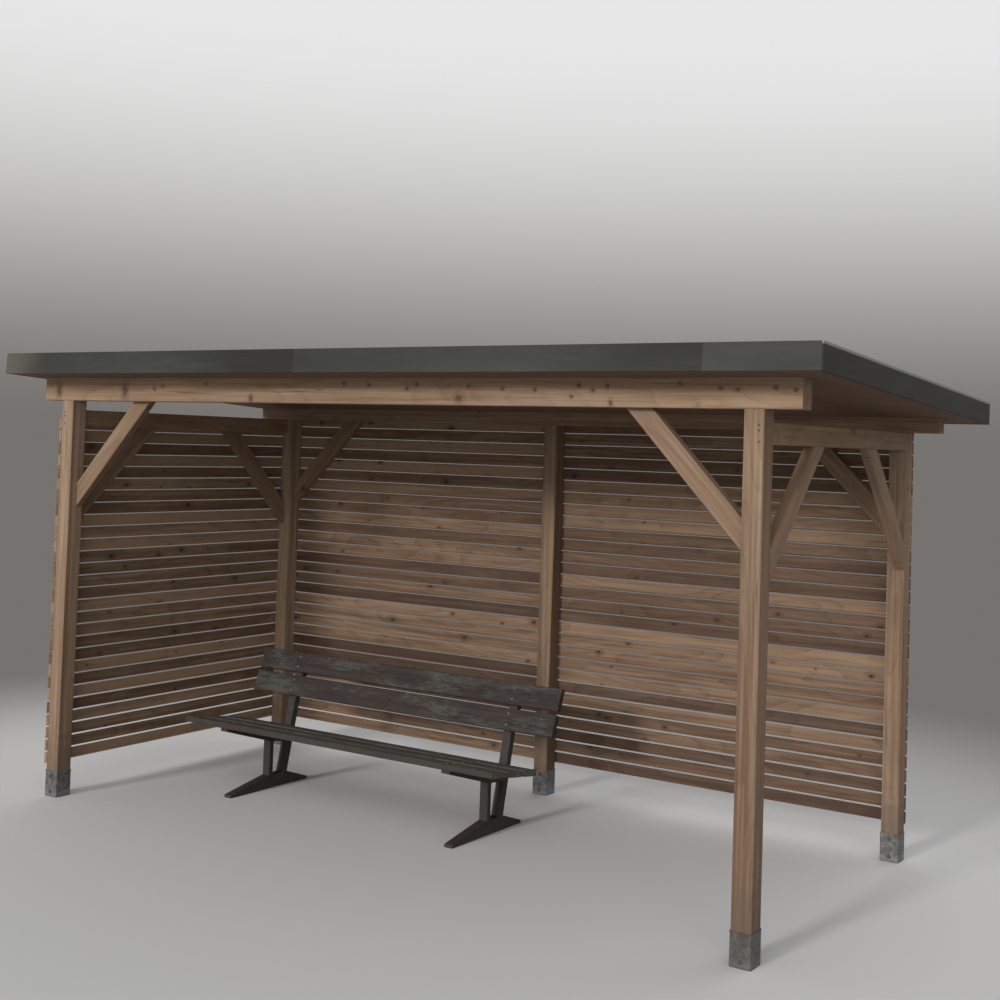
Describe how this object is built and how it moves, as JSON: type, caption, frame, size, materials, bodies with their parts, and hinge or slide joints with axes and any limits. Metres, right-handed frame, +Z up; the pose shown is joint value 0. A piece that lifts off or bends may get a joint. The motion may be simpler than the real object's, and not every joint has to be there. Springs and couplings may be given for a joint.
{
  "type": "bus shelter",
  "caption": "Open timber bus shelter: posts in steel ground sleeves, knee braces, lath-clad back and left side, shallow sloping roof with metal edges, and a bench inside.",
  "frame": {"origin": "on the ground under the middle of the roof's outline", "axes": "+X to the right along the open front, +Y to the clad back, +Z up"},
  "size_m": [4.821, 2.2585, 2.4398],
  "materials": {
    "post_timber": "planed, weathered",
    "frame_timber": "planed, weathered",
    "lath_timber": "planed, weathered",
    "roof_timber": "sawn",
    "soffit_board": "smooth board",
    "roof_membrane": "matt",
    "trim_metal": "semi-gloss coat",
    "galvanised_steel": "dull galvanised",
    "bench_timber": "weathered, green with algae",
    "bench_metal": "matt coat"
  },
  "bodies": {
    "root": {"back_beam": "frame_timber", "back_edge_board": "roof_timber", "back_left_brace": "frame_timber", "back_left_post": "post_timber", "back_left_sleeve": "galvanised_steel", "back_middle_post": "post_timber", "back_middle_sleeve": "galvanised_steel", "back_right_brace": "frame_timber", "back_right_post": "post_timber", "back_right_sleeve": "galvanised_steel", "back_trim": "trim_metal", "back_wall_left_laths": "lath_timber", "back_wall_right_laths": "lath_timber", "bench_back_planks": "bench_timber", "bench_left_support": "bench_metal", "bench_right_support": "bench_metal", "bench_seat_planks": "bench_timber", "front_beam": "frame_timber", "front_edge_board": "roof_timber", "front_left_brace": "frame_timber", "front_left_post": "post_timber", "front_left_sleeve": "galvanised_steel", "front_right_brace": "frame_timber", "front_right_post": "post_timber", "front_right_sleeve": "galvanised_steel", "front_trim": "trim_metal", "left_edge_board": "roof_timber", "left_side_back_brace": "frame_timber", "left_side_front_brace": "frame_timber", "left_side_rail": "frame_timber", "left_trim": "trim_metal", "left_wall_laths": "lath_timber", "right_edge_board": "roof_timber", "right_side_back_brace": "frame_timber", "right_side_front_brace": "frame_timber", "right_side_rail": "frame_timber", "right_trim": "trim_metal", "roof_covering": "roof_membrane", "roof_deck": "roof_timber", "roof_joists": "roof_timber", "roof_soffit": "soffit_board"}
  },
  "joints": []
}
